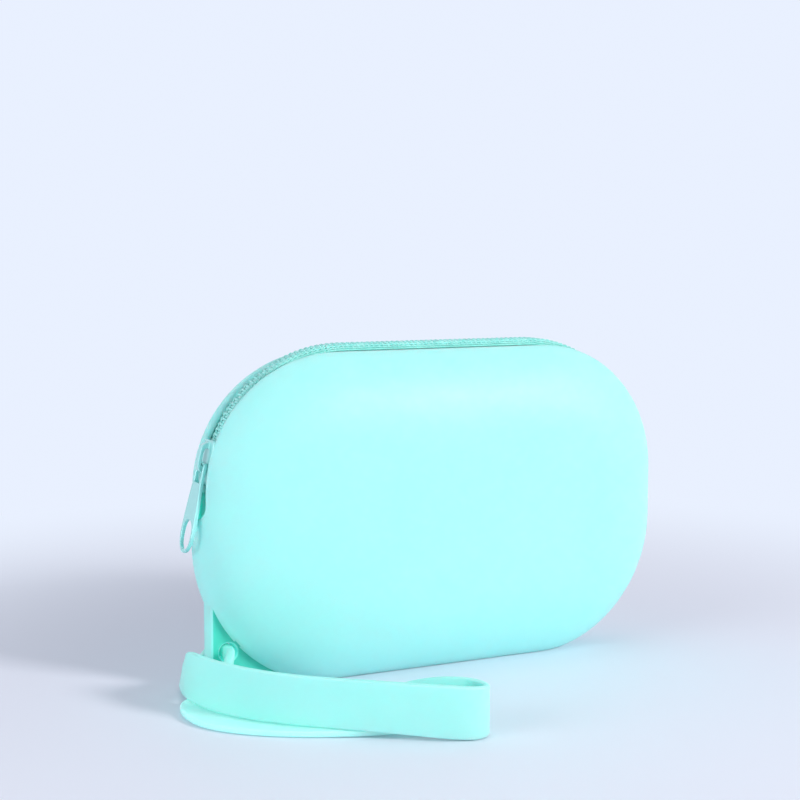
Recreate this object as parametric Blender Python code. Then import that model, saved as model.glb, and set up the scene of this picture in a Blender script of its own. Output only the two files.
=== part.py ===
"""A soft silicone pouch that stands on its flat base, with a curved zip over its top and a wrist strap.

The front of the pouch faces -Y, the zip closes towards -X, and the origin is the centre of the base.
Sizes are in millimetres and are scaled to metres where a mesh is made.
"""
import math

import bpy
import numpy as np

MM = 0.001

# Pouch shell: a rounded slab whose edge is a quarter ellipse in section.
BODY_W = 140.0
BODY_H = 90.2
BODY_D = 32.0
CORNER_R = 38.0
EDGE_REACH = 24.0
WALL = 2.3
BASE_SINK = 1.2
CORNER_STEPS = 12
OUTER_STEPS = 8
INNER_STEPS = 6

# Mouth slot over the top and down both sides.
SLOT_W = 8.2
SLOT_LIP = 1.6
SLOT_DROP = 6.5

# Strap fin on the lower left corner.
FIN_T = 6.5
FIN_BACK = 3.4
FIN_LIFT = 0.2
FIN_CORNER_R = 3.6
FIN_ROUND = 0.8
HOLE_BACK = 8.0
HOLE_Z = 10.3
HOLE_D = 4.8

# Zip chain. It runs on corners of its own, sunk at the sides and proud at the top. Insets are measured
# inwards from a line over the coil.
CHAIN_SINK = 3.3
CHAIN_RISE = 0.45
CHAIN_CORNER_R = 38.3
TOOTH_PITCH = 1.5
COIL_TOP = 1.7
COIL_H = 2.0
COIL_HALF = 2.9
TOOTH_REACH = 1.15
TOOTH_VALLEY = 1.4
PIECE_GAP = 0.15
TAPE_T = 0.5
TAPE_EDGE = 1.4
TAPE_BOND = 9.3
TAPE_SEAT = 0.25
TAPE_CLEAR = 0.15
STOP_LONG = 2.0
BOTTOM_STOP_LONG = 3.0
BOTTOM_STOP_START = 1.5

# Slider, in its own frame: along the chain, across it, and inset.
SLIDER_ANGLE = 12.4
SLIDER_HALF_LONG = 5.8
SLIDER_FRONT_HALF = 3.75
SLIDER_TAIL_HALF = 3.7
PLATE_T = 0.75
PLATE_GAP = 0.2
FLANGE_T = 0.65
LOWER_PLATE_INSET = 5.0
LOWER_PLATE_HALF = 3.3
WEDGE_HALF = 1.15
BRIDGE_HALF = 1.1
BRIDGE_FOOT = -3.2
BRIDGE_END = 5.2
WINDOW_FOOT = -1.25
WINDOW_END = 3.5
WINDOW_H = 1.2
BRIDGE_T = 0.85

# Pull tab, hanging from the bridge.
PULL_TILT = 13.0
PULL_LONG = 23.6
PULL_T = 1.0
PULL_HEAD_HALF = 3.1
PULL_WIDE_HALF = 4.5
PULL_WALL = 1.0
HEAD_HOLE_END = 5.0
GRIP_HOLE_MID = 18.8
GRIP_HOLE_LONG = 7.7
GRIP_HOLE_WIDE = 6.8

# Wrist strap: one flat closed band.
STRAP_W = 13.0
STRAP_T = 1.6
STRAP_NECK_W = 3.6
STRAP_NECK_T = 2.6
STRAP_STEPS = 4
STRAP_REACH = 65.0
# Each row is a station round the loop. The first three are shares of the reach: x from the hole, y beyond
# the fin's face (0 is in the hole), and height of the lower edge over the table. Then come the lean of the
# band in degrees from upright, its share of the full width, of the neck, and of the hole's height.
STRAP_ROWS = (
    (0.0, 0.0, 0.0, 0, 0.0, 1.0, 1.0),
    (-0.0015, 0.0262, 0.0, 0, 0.08, 0.9, 0.96),
    (-0.0369, 0.06, 0.0615, -8, 0.32, 0.5, 0.0),
    (-0.0985, 0.0523, 0.0185, -10, 0.4, 0.2, 0.0),
    (-0.1631, 0.0077, 0.0092, -12, 0.6, 0.0, 0.0),
    (-0.2123, -0.0369, 0.0046, -8, 0.76, 0.0, 0.0),
    (-0.2262, -0.1262, 0.0046, -6, 0.92, 0.0, 0.0),
    (-0.2062, -0.2431, 0.0046, -2, 1.0, 0.0, 0.0),
    (-0.1508, -0.3785, 0.0062, 0, 1.04, 0.0, 0.0),
    (-0.0523, -0.5277, 0.0062, 0, 1.07, 0.0, 0.0),
    (0.0754, -0.6631, 0.0062, 2, 1.08, 0.0, 0.0),
    (0.2215, -0.7923, 0.0077, 4, 1.1, 0.0, 0.0),
    (0.3723, -0.9, 0.0062, 7, 1.1, 0.0, 0.0),
    (0.4985, -0.9708, 0.0031, 8, 1.08, 0.0, 0.0),
    (0.5938, -0.9985, 0.0031, 5, 1.0, 0.0, 0.0),
    (0.6554, -0.96, 0.0031, 0, 0.92, 0.0, 0.0),
    (0.6215, -0.8923, 0.0031, 14, 0.92, 0.0, 0.0),
    (0.52, -0.8385, 0.0031, 46, 0.96, 0.0, 0.0),
    (0.3815, -0.7677, 0.0031, 68, 0.98, 0.0, 0.0),
    (0.2369, -0.6831, 0.0031, 84, 0.98, 0.0, 0.0),
    (0.0969, -0.5954, 0.0031, 90, 0.98, 0.0, 0.0),
    (-0.0215, -0.4923, 0.0031, 90, 0.94, 0.0, 0.0),
    (-0.0923, -0.3846, 0.0031, 90, 0.9, 0.0, 0.0),
    (-0.1169, -0.2769, 0.0046, 88, 0.86, 0.0, 0.0),
    (-0.1046, -0.1908, 0.0108, 72, 0.76, 0.1, 0.0),
    (-0.0646, -0.1231, 0.04, 36, 0.52, 0.3, 0.0),
    (-0.0138, -0.0523, 0.0, 8, 0.08, 0.9, 0.93),
)

HALF_W = BODY_W / 2
HALF_D = BODY_D / 2
ARC_X = HALF_W - CORNER_R
ARC_Z = BODY_H - CORNER_R
TAPE_TOP = COIL_TOP + COIL_H + PIECE_GAP
TAPE_BOTTOM = TAPE_TOP + TAPE_T
COIL_BOTTOM = COIL_TOP + COIL_H
CHAIN_X = HALF_W - CHAIN_SINK - CHAIN_CORNER_R
CHAIN_Z = BODY_H + CHAIN_RISE - CHAIN_CORNER_R
CHAIN_OUT = CHAIN_CORNER_R + COIL_TOP
CHAIN_R = CHAIN_CORNER_R - COIL_H / 2
CHAIN_ARC = CHAIN_R * math.pi / 2
CHAIN_LONG = 2 * CHAIN_ARC + 2 * CHAIN_X
# A path is the centre of its left corner as distances from the middle and the base, the radius of the line
# that insets start from, and the radius at which lengths are counted.
CHAIN_PATH = (CHAIN_X, CHAIN_Z, CHAIN_OUT, CHAIN_R)
EDGE_PATH = (ARC_X, ARC_Z, CORNER_R, CORNER_R)
FIN_OUT = HALF_W - FIN_BACK
HOLE_X = HOLE_BACK - HALF_W
PLATE_IN = COIL_TOP - PLATE_GAP
PLATE_OUT = PLATE_IN - PLATE_T
SLIDER_AT = CHAIN_R * math.radians(SLIDER_ANGLE)
STOP_START = SLIDER_AT - SLIDER_HALF_LONG - 2 * PIECE_GAP - STOP_LONG
CROSSBAR_R = 0.42 * PULL_T
CROSSBAR_U = WINDOW_FOOT + PIECE_GAP + CROSSBAR_R
CROSSBAR_INSET = PLATE_OUT - WINDOW_H / 2


def clear_scene():
    for old in list(bpy.data.objects):
        bpy.data.objects.remove(old, do_unlink=True)


def material(name, color, roughness, metallic=0.0):
    made = bpy.data.materials.new(name)
    made.use_nodes = True
    shader = made.node_tree.nodes["Principled BSDF"]
    shader.inputs["Base Color"].default_value = (*color, 1.0)
    shader.inputs["Roughness"].default_value = roughness
    shader.inputs["Metallic"].default_value = metallic
    made.diffuse_color = (*color, 1.0)
    return made


def mesh_object(name, points, faces, look=None, smooth=False, origin=(0.0, 0.0, 0.0)):
    mesh = bpy.data.meshes.new(name)
    placed = (np.asarray(points, float) - np.asarray(origin)) * MM
    mesh.from_pydata(placed.tolist(), [], faces)
    mesh.validate()
    mesh.update()
    mesh.shade_smooth() if smooth else mesh.shade_flat()
    made = bpy.data.objects.new(name, mesh)
    made.location = np.asarray(origin) * MM
    if look:
        mesh.materials.append(look)
    bpy.context.scene.collection.objects.link(made)
    return made


def helper(made):
    made.hide_render = True
    made.display_type = "WIRE"
    return made


def combine(target, other, operation):
    step = target.modifiers.new(other.name, "BOOLEAN")
    step.operation = operation
    step.solver = "EXACT"
    step.object = helper(other)


def loft(rings, closed_along=False):
    """Points and outward faces of a tube through equal rings that run anticlockwise seen against the travel."""
    count = len(rings[0])
    points = [tuple(point) for ring in rings for point in ring]
    faces = []
    spans = len(rings) if closed_along else len(rings) - 1
    for i in range(spans):
        here = i * count
        there = (i + 1) % len(rings) * count
        for j in range(count):
            k = (j + 1) % count
            faces.append((here + j, here + k, there + k, there + j))
    if not closed_along:
        faces.append(tuple(reversed(range(count))))
        faces.append(tuple(range((len(rings) - 1) * count, len(rings) * count)))
    return points, faces


def facing_out(points, faces):
    """The faces, turned round where the volume that they hold comes out negative."""
    at = np.asarray(points, float)
    volume = 0.0
    for face in faces:
        for i in range(1, len(face) - 1):
            volume += np.dot(at[face[0]], np.cross(at[face[i]], at[face[i + 1]]))
    return faces if volume > 0 else [tuple(reversed(face)) for face in faces]


def solid(name, rings, look=None, smooth=False, closed_along=False, origin=(0.0, 0.0, 0.0)):
    points, faces = loft(rings, closed_along)
    return mesh_object(name, points, facing_out(points, faces), look, smooth, origin)


def outer_inset(y):
    return EDGE_REACH * (1 - math.sqrt(max(0.0, 1 - (y / HALF_D) ** 2)))


def inner_nodes():
    angles = np.linspace(0.0, math.pi / 2, INNER_STEPS + 1)
    return (HALF_D - WALL) * np.sin(angles), EDGE_REACH - (EDGE_REACH - WALL) * np.cos(angles)


def inner_inset(y):
    across, inset = inner_nodes()
    return float(np.interp(abs(y), across, inset))


def outline_stations():
    """Corner centre and outward direction of each outline point, clockwise from the lower left corner."""
    low = CORNER_R
    high = ARC_Z
    corners = (((-ARC_X, low), -90), ((-ARC_X, high), 180), ((ARC_X, high), 90), ((ARC_X, low), 0))
    starts = (270, 180, 90, 0)
    stations = []
    for (centre, _), start in zip(corners, starts):
        for step in range(CORNER_STEPS + 1):
            angle = math.radians(start - 90 * step / CORNER_STEPS)
            stations.append((centre[0], centre[1], math.cos(angle), math.sin(angle)))
    return stations


def body_ring(y, inset, sink):
    ring = []
    for cx, cz, nx, nz in outline_stations():
        x = cx + (CORNER_R - inset) * nx
        z = cz + (CORNER_R - inset) * nz
        if sink and z < CORNER_R:
            z = max(z - BASE_SINK * (1 - z / CORNER_R) ** 2, 0.0)
        ring.append((x, y, z))
    return ring


def body_shell():
    """The outer skin and the cavity as one mesh of two closed surfaces, the cavity facing inwards."""
    outer = []
    for step in range(-OUTER_STEPS, OUTER_STEPS + 1):
        angle = math.pi / 2 * step / OUTER_STEPS
        outer.append(body_ring(HALF_D * math.sin(angle), EDGE_REACH * (1 - math.cos(angle)), True))
    inner = []
    for step in range(-INNER_STEPS, INNER_STEPS + 1):
        angle = math.pi / 2 * step / INNER_STEPS
        inset = EDGE_REACH - (EDGE_REACH - WALL) * math.cos(angle)
        inner.append(body_ring((HALF_D - WALL) * math.sin(angle), inset, False))
    points, faces = loft(outer)
    faces = facing_out(points, faces)
    cavity_points, cavity_faces = loft(inner)
    cavity_faces = [tuple(reversed(face)) for face in facing_out(cavity_points, cavity_faces)]
    start = len(points)
    points += cavity_points
    faces += [tuple(start + i for i in face) for face in cavity_faces]
    return points, faces


def path_frame(path, along):
    """A path's point and outward direction at a distance from the lower end of its left corner."""
    centre_x, centre_z, reach, ruler = path
    arc = ruler * math.pi / 2
    end = 2 * arc + 2 * centre_x
    if along < 0:
        return (-centre_x - reach, centre_z + along), (-1.0, 0.0)
    if along <= arc:
        angle = along / ruler
        out = (-math.cos(angle), math.sin(angle))
        return (-centre_x + reach * out[0], centre_z + reach * out[1]), out
    if along < end - arc:
        return (-centre_x + along - arc, centre_z + reach), (0.0, 1.0)
    if along <= end:
        angle = (end - along) / ruler
        out = (math.cos(angle), math.sin(angle))
        return (centre_x + reach * out[0], centre_z + reach * out[1]), out
    return (centre_x + reach, centre_z - (along - end)), (1.0, 0.0)


def path_point(path, along, y, inset):
    base, out = path_frame(path, along)
    return (base[0] - inset * out[0], y, base[1] - inset * out[1])


def path_stations(path, start, end):
    """Distances along a path that divide its corners evenly."""
    arc = path[3] * math.pi / 2
    marks = [start, end]
    for step in range(CORNER_STEPS + 1):
        marks.append(arc * step / CORNER_STEPS)
        marks.append(arc + 2 * path[0] + arc * step / CORNER_STEPS)
    return sorted({round(mark, 6) for mark in marks if start <= mark <= end})


def swept(name, path, stations, profile, look, smooth=False):
    rings = []
    for along in stations:
        rings.append([path_point(path, along, y, inset) for y, inset in profile(along)])
    return solid(name, rings, look, smooth)


def edge_inset(x, z):
    """How far a point above the lower corners lies inside the pouch outline."""
    return CORNER_R - math.hypot(max(abs(x) - ARC_X, 0.0), max(z - ARC_Z, 0.0))


def chain_inset(along, inset):
    """The chain's own inset at which its normal meets the shell's layer of a given inset."""
    found = inset
    for _ in range(3):
        x, _, z = path_point(CHAIN_PATH, along, 0.0, found)
        found += inset - edge_inset(x, z)
    return found


def slot_cutter():
    """A tool for the mouth: straight walls, rounded rims and round ends."""
    half = SLOT_W / 2
    end_steps = (0.0, 0.1, 0.35, 0.7, 1.0)
    low = -SLOT_DROP
    high = CORNER_R * math.pi + 2 * ARC_X + SLOT_DROP
    stations = [low + half * step for step in end_steps]
    stations += path_stations(EDGE_PATH, low + half + 0.1, high - half - 0.1)
    stations += [high - half * step for step in reversed(end_steps)]

    def profile(along):
        left = max(0.0, min(along - low, high - along)) / half
        share = 0.1 if left < 0.01 else min(1.0, math.sqrt(max(0.0, 1 - (1 - min(left, 1.0)) ** 2)))
        wall = half * share
        rim = outer_inset(wall + SLOT_LIP)
        side = []
        for angle in (0, 30, 60):
            turn = math.radians(angle)
            reach = wall + SLOT_LIP * (1 - math.cos(turn))
            side.append((reach, rim + SLOT_LIP * (1 - math.sin(turn))))
        side.append((wall + SLOT_LIP * 1.4, rim - SLOT_LIP * 0.11))
        side.append((wall + SLOT_LIP * 1.4, -3.0))
        right = [(wall, 8.0)] + side
        return right + [(-y, inset) for y, inset in reversed(right)]

    return swept("mouth_cutter", EDGE_PATH, stations, profile, None)


def fin_block():
    """The strap fin: it ends inside the shell wall, along an arc of the corner."""
    reach = CORNER_R - WALL * 0.55
    levels = ((-FIN_T / 2, FIN_ROUND), (-FIN_T / 2 + 0.25 * FIN_ROUND, 0.35 * FIN_ROUND))
    levels += ((-FIN_T / 2 + FIN_ROUND, 0.0),)
    levels += tuple((-y, back) for y, back in reversed(levels))
    rings = []
    for y, back in levels:
        edge = -FIN_OUT + back
        floor = FIN_LIFT + back
        turn_r = FIN_CORNER_R - back
        turn_x = -FIN_OUT + FIN_CORNER_R
        turn_z = FIN_LIFT + FIN_CORNER_R
        start = math.acos((-ARC_X - edge) / reach)
        ring = []
        for step in range(9):
            angle = start + (math.pi / 2 - 0.16 - start) * step / 8
            ring.append((-ARC_X - reach * math.cos(angle), y, CORNER_R - reach * math.sin(angle)))
        ring.append((ring[-1][0], y, floor))
        for step in range(5):
            angle = math.pi / 2 * step / 4
            ring.append((turn_x - turn_r * math.sin(angle), y, turn_z - turn_r * math.cos(angle)))
        rings.append(ring)
    return solid("fin_block", rings)


def hole_cutter():
    """A tool for the strap hole, widening to rounded rims at both faces."""
    half = FIN_T / 2
    sections = ((-half - 1.0, FIN_ROUND + 1.0), (-half, FIN_ROUND), (-half + 0.25 * FIN_ROUND, 0.35 * FIN_ROUND))
    sections += ((-half + FIN_ROUND, 0.0),)
    sections += tuple((-y, wider) for y, wider in reversed(sections))
    rings = []
    for y, wider in sections:
        radius = HOLE_D / 2 + wider
        turns = np.linspace(0, 2 * math.pi, 20, endpoint=False)
        rings.append([(HOLE_X + radius * math.cos(turn), y, HOLE_Z + radius * math.sin(turn)) for turn in turns])
    return solid("hole_cutter", rings)


def silicone_body(look):
    points, faces = body_shell()
    made = mesh_object("silicone_body", points, faces, look, smooth=True)
    combine(made, slot_cutter(), "DIFFERENCE")
    combine(made, fin_block(), "UNION")
    combine(made, hole_cutter(), "DIFFERENCE")
    return made


def thickened(line, thickness):
    """A closed loop: the line, then the same line moved inwards by a thickness."""
    points = np.asarray(line, float)
    ahead = np.diff(points, axis=0)
    ahead /= np.linalg.norm(ahead, axis=1)[:, None]
    normal = np.column_stack([-ahead[:, 1], ahead[:, 0]])
    before = np.vstack([normal[:1], normal])
    after = np.vstack([normal, normal[-1:]])
    moved = (before + after) / (1 + np.sum(before * after, axis=1))[:, None]
    return [tuple(point) for point in points] + [tuple(point) for point in (points + thickness * moved)[::-1]]


def tape_line(along):
    """The tape's upper face: flat under the coil, past the slot wall's lower edge, then along the wall."""
    wall = SLOT_W / 2
    over = TAPE_TOP - chain_inset(along, inner_inset(wall))
    free = min(1.0, max(0.0, (over - 0.1) / 2))
    dive = wall - TAPE_CLEAR
    bend = LOWER_PLATE_HALF + 0.05 + (dive - LOWER_PLATE_HALF) * 0.9 * free
    turn = dive + 0.3 * free
    foot = dive + 0.65 * free
    seat = chain_inset(along, inner_inset(foot) + TAPE_SEAT)
    line = [(TAPE_EDGE, TAPE_TOP), (bend, TAPE_TOP)]
    line += [(turn, TAPE_TOP + (seat - TAPE_TOP) * (0.32 + 0.18 * free)), (foot, seat)]
    for y in [y for y in inner_nodes()[0] if wall + 1 < y < TAPE_BOND] + [TAPE_BOND]:
        line.append((y, chain_inset(along, inner_inset(y) + TAPE_SEAT)))
    return line


def zip_tape(name, side, look):
    """A woven strip that lines the mouth, its outer half against the inside of the shell wall."""
    def profile(along):
        return [(side * y, inset) for y, inset in thickened(tape_line(along), TAPE_T)]

    ends = SLOT_DROP + 1.5
    return swept(name, CHAIN_PATH, path_stations(CHAIN_PATH, -ends, CHAIN_LONG + ends), profile, look)


def coil(name, side, shift, look):
    """One half of the chain: a ribbed strip whose teeth reach between those of the other half."""
    start = STOP_START + STOP_LONG + PIECE_GAP
    end = CHAIN_LONG + BOTTOM_STOP_START - PIECE_GAP
    count = int((end - start) / TOOTH_PITCH)
    stations = [start + TOOTH_PITCH * k / 3 + shift for k in range(3 * count - 2)]

    def profile(along):
        phase = round((along - start - shift) / TOOTH_PITCH * 3) % 3
        meshed = along > SLIDER_AT - 0.6
        head = -TOOTH_REACH if meshed else TOOTH_VALLEY - 0.05
        valley = TOOTH_VALLEY if meshed else TOOTH_VALLEY + 0.35
        inner = head if phase == 0 else valley
        low = COIL_BOTTOM - (0.35 if phase == 0 else 0.0)
        high = COIL_TOP + (0.0 if phase == 0 else 0.3)
        return [
            (side * COIL_HALF, COIL_BOTTOM),
            (side * (COIL_HALF - 0.5), high),
            (side * inner, high + 0.2),
            (side * inner, low),
        ]

    return swept(name, CHAIN_PATH, stations, profile, look)


def top_stop(name, side, look):
    """A stop crimped round the free edge of one tape."""
    loop = [
        (0.2, COIL_TOP + 0.4), (0.7, COIL_TOP), (2.5, COIL_TOP), (3.1, COIL_TOP + 0.5), (3.1, COIL_BOTTOM),
        (TAPE_EDGE - 0.2, COIL_BOTTOM), (TAPE_EDGE - 0.2, TAPE_BOTTOM + PIECE_GAP),
        (2.6, TAPE_BOTTOM + PIECE_GAP), (2.6, TAPE_BOTTOM + 0.65), (0.2, TAPE_BOTTOM + 0.65),
    ]
    stations = [STOP_START + STOP_LONG * step / 2 for step in range(3)]
    return swept(name, CHAIN_PATH, stations, lambda along: [(side * y, inset) for y, inset in loop], look)


def bottom_stop(look):
    """A stop that holds both tapes together where the slider's travel ends."""
    half = [
        (2.5, COIL_TOP), (3.1, COIL_TOP + 0.5), (3.1, COIL_BOTTOM), (TAPE_EDGE - 0.2, COIL_BOTTOM),
        (TAPE_EDGE - 0.2, TAPE_BOTTOM + PIECE_GAP), (2.6, TAPE_BOTTOM + PIECE_GAP), (2.6, TAPE_BOTTOM + 0.65),
    ]
    loop = half + [(-y, inset) for y, inset in reversed(half)]
    start = CHAIN_LONG + BOTTOM_STOP_START
    return swept("bottom_stop", CHAIN_PATH, [start, start + BOTTOM_STOP_LONG], lambda along: loop, look)


def slider_point(u, y, inset):
    """A point of the slider's own frame: straight along the chain, across it, and in from the chain's line."""
    turn = math.radians(SLIDER_ANGLE)
    reach = CHAIN_OUT - inset
    x = -CHAIN_X - reach * math.cos(turn) + u * math.sin(turn)
    z = CHAIN_Z + reach * math.sin(turn) + u * math.cos(turn)
    return (x, y, z)


def slider_body(look):
    """Two plates joined by the wedge that parts the coils, with a bridge cast on the outer plate."""
    flange_end = TAPE_TOP - 2 * PIECE_GAP
    end_drop = 0.55 * PLATE_T
    sections = (
        (-SLIDER_HALF_LONG, SLIDER_FRONT_HALF - 0.5, end_drop),
        (-SLIDER_HALF_LONG + 0.9, SLIDER_FRONT_HALF, 0.6 * end_drop),
        (-2.0, SLIDER_FRONT_HALF, 0.0),
        (SLIDER_HALF_LONG - 0.8, SLIDER_TAIL_HALF, 0.0),
        (SLIDER_HALF_LONG, SLIDER_TAIL_HALF - 0.35, 0.5 * end_drop),
    )
    rings = []
    for u, half, drop in sections:
        inner = SLIDER_TAIL_HALF - FLANGE_T if u > 0 else SLIDER_FRONT_HALF - FLANGE_T
        inner = min(inner, half - 0.35)
        loop = [
            (half, flange_end), (half, PLATE_OUT + drop + 0.5), (half - 0.45, PLATE_OUT + drop + 0.1),
            (half - 1.2, PLATE_OUT + drop),
        ]
        loop += [(-y, inset) for y, inset in reversed(loop)]
        loop += [(-inner, flange_end), (-inner, PLATE_IN), (inner, PLATE_IN), (inner, flange_end)]
        rings.append([slider_point(u, y, inset) for y, inset in loop])
    made = solid("slider_body", rings, look)

    lower = []
    for u, half, thin in (
        (-SLIDER_HALF_LONG + 0.4, LOWER_PLATE_HALF - 0.5, 0.25),
        (-SLIDER_HALF_LONG + 1.4, LOWER_PLATE_HALF, 0.0),
        (SLIDER_HALF_LONG - 1.4, LOWER_PLATE_HALF - 0.3, 0.0),
        (SLIDER_HALF_LONG - 0.4, LOWER_PLATE_HALF - 0.8, 0.25),
    ):
        low = LOWER_PLATE_INSET + PLATE_T
        loop = [(half, LOWER_PLATE_INSET), (-half, LOWER_PLATE_INSET), (-half + thin, low), (half - thin, low)]
        lower.append([slider_point(u, y, inset) for y, inset in loop])
    combine(made, solid("lower_plate", lower), "UNION")

    front = -SLIDER_HALF_LONG + 0.6
    plan = [(front, -0.6), (-3.8, -WEDGE_HALF), (-1.0, -0.15), (-1.0, 0.15), (-3.8, WEDGE_HALF), (front, 0.6)]
    wedge_levels = (PLATE_OUT + 0.9 * PLATE_T, LOWER_PLATE_INSET + PLATE_T / 2)
    wedge = [[slider_point(u, y, inset) for u, y in plan] for inset in wedge_levels]
    combine(made, solid("wedge", wedge), "UNION")

    rise = PLATE_OUT - WINDOW_H
    top = rise - BRIDGE_T
    sunk = PLATE_OUT + 0.5 * PLATE_T
    arch = [
        (BRIDGE_FOOT, sunk), (BRIDGE_FOOT, PLATE_OUT - 0.7), (BRIDGE_FOOT + 0.6, rise - 0.2),
        (BRIDGE_FOOT + 1.5, top + 0.12), (BRIDGE_FOOT + 2.6, top), (BRIDGE_END - 2.3, top),
        (BRIDGE_END - 1.2, top + 0.2), (BRIDGE_END - 0.4, rise + 0.2), (BRIDGE_END, PLATE_OUT - 0.3),
        (BRIDGE_END, sunk), (WINDOW_END, sunk), (WINDOW_END, PLATE_OUT - 0.7), (WINDOW_END - 0.5, rise + 0.15),
        (WINDOW_END - 1.3, rise), (WINDOW_FOOT + 0.35, rise), (WINDOW_FOOT, rise + 0.35), (WINDOW_FOOT, sunk),
    ]
    bridge = []
    for y, back in ((-BRIDGE_HALF, 1), (BRIDGE_HALF, 1)):
        bridge.append([slider_point(u, y * back, inset) for u, inset in arch])
    combine(made, solid("bridge", bridge), "UNION")
    return made


def pull_frame():
    """Pivot of the pull, its hanging direction and its outward direction."""
    pivot = np.array(slider_point(CROSSBAR_U, 0.0, CROSSBAR_INSET))
    tilt = math.radians(PULL_TILT)
    down = np.array([-math.sin(tilt), 0.0, -math.cos(tilt)])
    out = np.array([-math.cos(tilt), 0.0, math.sin(tilt)])
    return pivot, down, out


def plate_rings(contour, levels):
    """Rings of a plate in the pull's plane, each level offset from the contour along its own normals."""
    pivot, down, out = pull_frame()
    plan = np.asarray(contour, float)
    ahead = np.roll(plan, -1, 0) - np.roll(plan, 1, 0)
    ahead /= np.linalg.norm(ahead, axis=1)[:, None]
    normal = np.column_stack([ahead[:, 1], -ahead[:, 0]])
    if np.sum(normal * (plan - plan.mean(0))) < 0:
        normal = -normal
    rings = []
    for height, offset in levels:
        rings.append([
            tuple(pivot + down * v + out * height + np.array([0.0, w, 0.0])) for w, v in plan + normal * offset
        ])
    return rings


def pull_contour():
    """Half widths down the tab: straight at the head, flaring, then a round end."""
    widest = PULL_LONG - 5.6
    right = []
    for along in (0.0, 2.5, HEAD_HOLE_END):
        right.append((PULL_HEAD_HALF, along))
    for share in (0.25, 0.5, 0.75, 0.92, 1.0):
        ease = 1 - (1 - share) ** 1.6
        along = HEAD_HOLE_END + (widest - HEAD_HOLE_END) * share
        right.append((PULL_HEAD_HALF + (PULL_WIDE_HALF - PULL_HEAD_HALF) * ease, along))
    for step in range(1, 9):
        turn = math.pi / 2 * step / 8
        right.append((PULL_WIDE_HALF * math.cos(turn), widest + (PULL_LONG - widest) * math.sin(turn)))
    left = [(-w, along) for w, along in reversed(right[:-1])]
    return right + left


def pull_tab(look):
    """A flat tab with a slotted head that hooks under the bridge, and a long grip hole."""
    pivot, down, out = pull_frame()
    half = PULL_T / 2
    edge = 0.2
    levels = ((-half, -edge), (-half + edge, 0.0), (half - edge, 0.0), (half, -edge))
    rings = plate_rings(pull_contour(), levels)
    made = solid("pull_tab", rings, look, origin=tuple(pivot))

    flare = ((-half - 0.3, 0.5), (-half + edge, 0.0), (half - edge, 0.0), (half + 0.3, 0.5))
    wall = PULL_HEAD_HALF - PULL_WALL
    turn_r = 0.5
    head = [(wall, -2.0)]
    for step in range(4):
        turn = math.pi / 2 * step / 3
        head.append((wall - turn_r * (1 - math.cos(turn)), HEAD_HOLE_END - turn_r * (1 - math.sin(turn))))
    head += [(-w, along) for w, along in reversed(head)]
    combine(made, solid("head_cutter", plate_rings(head, flare)), "DIFFERENCE")

    grip = []
    for turn in np.linspace(0, 2 * math.pi, 24, endpoint=False):
        swell = (abs(math.cos(turn)) ** 2.4 + abs(math.sin(turn)) ** 2.4) ** (-1 / 2.4)
        grip.append((
            GRIP_HOLE_WIDE / 2 * swell * math.cos(turn),
            GRIP_HOLE_MID + GRIP_HOLE_LONG / 2 * swell * math.sin(turn),
        ))
    combine(made, solid("grip_cutter", plate_rings(grip, flare)), "DIFFERENCE")

    bar = []
    for y in (-PULL_HEAD_HALF + edge, PULL_HEAD_HALF - edge):
        ring = []
        for turn in np.linspace(0, 2 * math.pi, 12, endpoint=False) + 0.13:
            offset = down * CROSSBAR_R * math.cos(turn) + out * CROSSBAR_R * math.sin(turn)
            ring.append(tuple(pivot + offset + np.array([0.0, y, 0.0])))
        bar.append(ring)
    combine(made, solid("crossbar", bar), "UNION")
    return made


def spline(rows, steps):
    """A closed smooth curve through the rows."""
    rows = np.asarray(rows, float)
    out = []
    for i in range(len(rows)):
        a, b, c, d = rows[i - 1], rows[i], rows[(i + 1) % len(rows)], rows[(i + 2) % len(rows)]
        for t in np.arange(steps) / steps:
            bend = 2 * a - 5 * b + 4 * c - d
            turn = 3 * b - a - 3 * c + d
            out.append(0.5 * (2 * b + (c - a) * t + bend * t ** 2 + turn * t ** 3))
    return np.array(out)


def strap_stations():
    """Centre, upright axis, thickness axis, width and thickness of the band all round its loop."""
    rows = []
    for x_share, y_share, lift_share, lean, wide, neck, hole in STRAP_ROWS:
        dx, dy, lift = x_share * STRAP_REACH, y_share * STRAP_REACH, lift_share * STRAP_REACH
        y = dy if abs(y_share) < 0.006 else dy + math.copysign(FIN_T / 2, dy)
        width = STRAP_NECK_W + (STRAP_W - STRAP_NECK_W) * wide
        thick = STRAP_T + (STRAP_NECK_T - STRAP_T) * neck
        turn = math.radians(abs(lean))
        low = lift + width / 2 * math.cos(turn) + thick / 2 * math.sin(turn)
        rows.append((HOLE_X + dx, y, hole * HOLE_Z + (1 - hole) * low, lean, width, thick))
    return spline(rows, STRAP_STEPS)


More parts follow.
